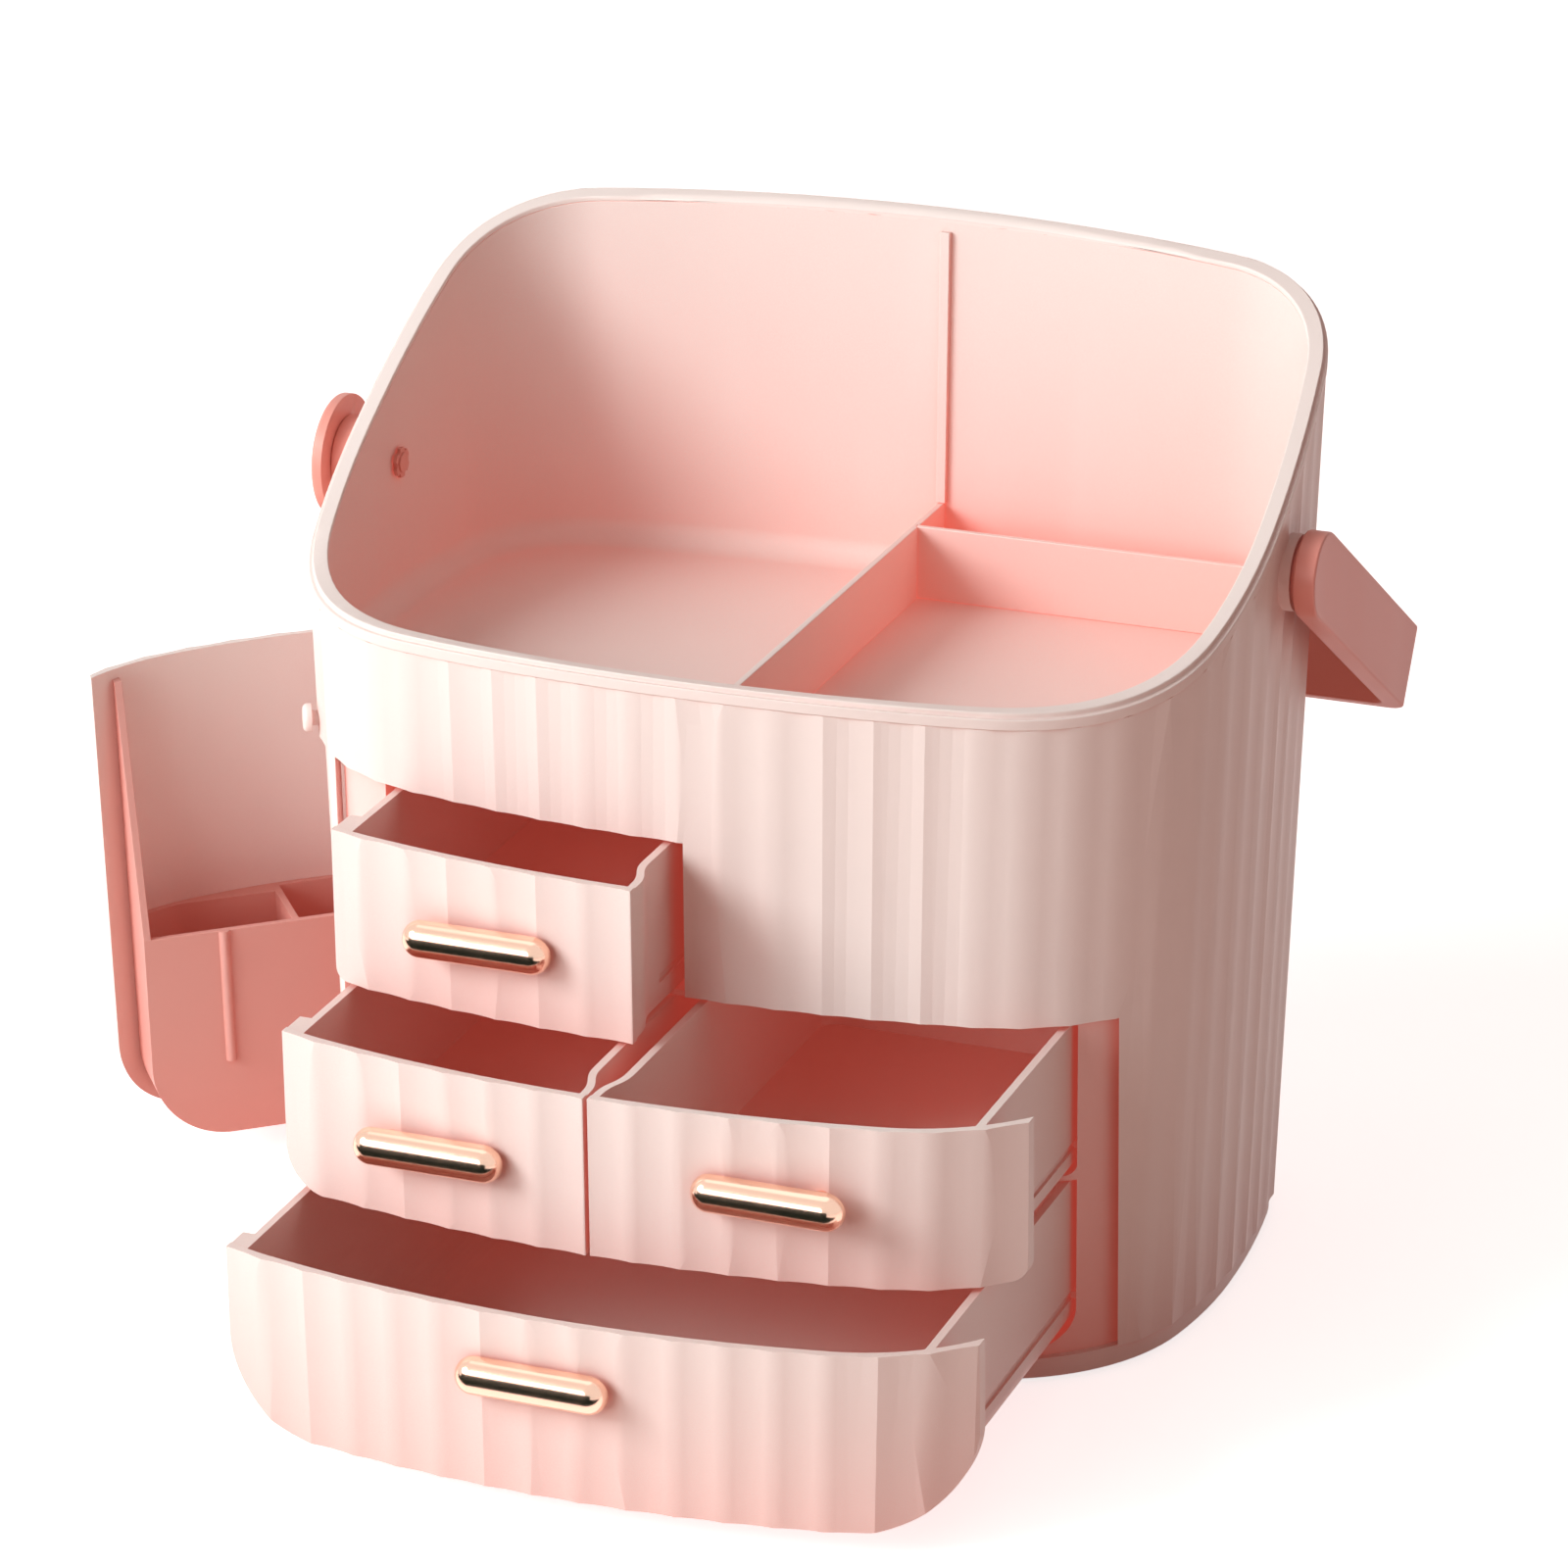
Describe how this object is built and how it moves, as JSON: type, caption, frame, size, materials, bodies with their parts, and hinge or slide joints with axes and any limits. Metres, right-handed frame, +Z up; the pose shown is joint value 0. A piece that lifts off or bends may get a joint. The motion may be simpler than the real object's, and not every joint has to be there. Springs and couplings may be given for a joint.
{
  "type": "makeup storage case",
  "caption": "Fluted vanity case with an open bowl tray under a slanted rim, four drawers with bar pulls, a side door with a brush bin and a swinging carry handle.",
  "frame": {"origin": "on the floor under the middle of the case's plan, on the middle foot pad", "axes": "+Z up, the drawers open towards -Y, the brush door is on the -X side, the raised back is towards +Y"},
  "size_m": [0.3681, 0.3365, 0.2876],
  "materials": {
    "pink_plastic": "satin moulded, pale pink",
    "inner_plastic": "satin moulded, deeper pink where light is trapped",
    "pull_metal": "polished, pale rose gold",
    "screw_steel": "zinc plated",
    "pad_rubber": "matt"
  },
  "bodies": {
    "case": {"outer_shell": "pink_plastic", "rim_ring": "pink_plastic", "top_bowl": "inner_plastic", "divider_long": "inner_plastic", "divider_cross": "inner_plastic", "drawer_cabinet": "inner_plastic", "cabinet_back": "inner_plastic", "base_plate": "pink_plastic", "foot_pads": "pad_rubber", "base_screws": "screw_steel", "hinge_pins": "screw_steel", "pivot_washers": "pink_plastic"},
    "drawer_top_left": {"drawer_top_left": "pink_plastic", "pull_top_left": "pull_metal", "pull_screws_top_left": "screw_steel"},
    "drawer_mid_left": {"drawer_mid_left": "pink_plastic", "pull_mid_left": "pull_metal", "pull_screws_mid_left": "screw_steel"},
    "drawer_mid_right": {"drawer_mid_right": "pink_plastic", "pull_mid_right": "pull_metal", "pull_screws_mid_right": "screw_steel"},
    "drawer_bottom": {"drawer_bottom": "pink_plastic", "pull_bottom": "pull_metal", "pull_screws_bottom": "screw_steel"},
    "door": {"side_door": "pink_plastic", "brush_bin": "inner_plastic"},
    "button": {"door_button": "pink_plastic"},
    "handle": {"carry_handle": "pink_plastic", "pivot_cap_left": "pink_plastic", "pivot_retainers": "pink_plastic"}
  },
  "joints": [
    {"name": "top_left_slide", "type": "slide", "parent": "case", "child": "drawer_top_left", "axis": [0, -1, 0], "range_m": [-0.035, 0.085]},
    {"name": "mid_left_slide", "type": "slide", "parent": "case", "child": "drawer_mid_left", "axis": [0, -1, 0], "range_m": [-0.071, 0.049]},
    {"name": "mid_right_slide", "type": "slide", "parent": "case", "child": "drawer_mid_right", "axis": [0, -1, 0], "range_m": [-0.071, 0.049]},
    {"name": "bottom_slide", "type": "slide", "parent": "case", "child": "drawer_bottom", "axis": [0, -1, 0], "range_m": [-0.111, 0.012]},
    {"name": "door_hinge", "type": "hinge", "parent": "case", "child": "door", "pos_m": [-0.12883, 0.04992, 0], "axis": [0.0268, -0.0104, -0.9996], "range_deg": [-52, 43]},
    {"name": "button_press", "type": "slide", "parent": "case", "child": "button", "axis": [0.8789, 0.477, 0], "range_m": [0, 0.0015], "stiffness_N_per_m": 300},
    {"name": "handle_pivot", "type": "hinge", "parent": "case", "child": "handle", "pos_m": [0, 0.016, 0.217], "axis": [1, 0, 0], "range_deg": [-3, 202]}
  ]
}
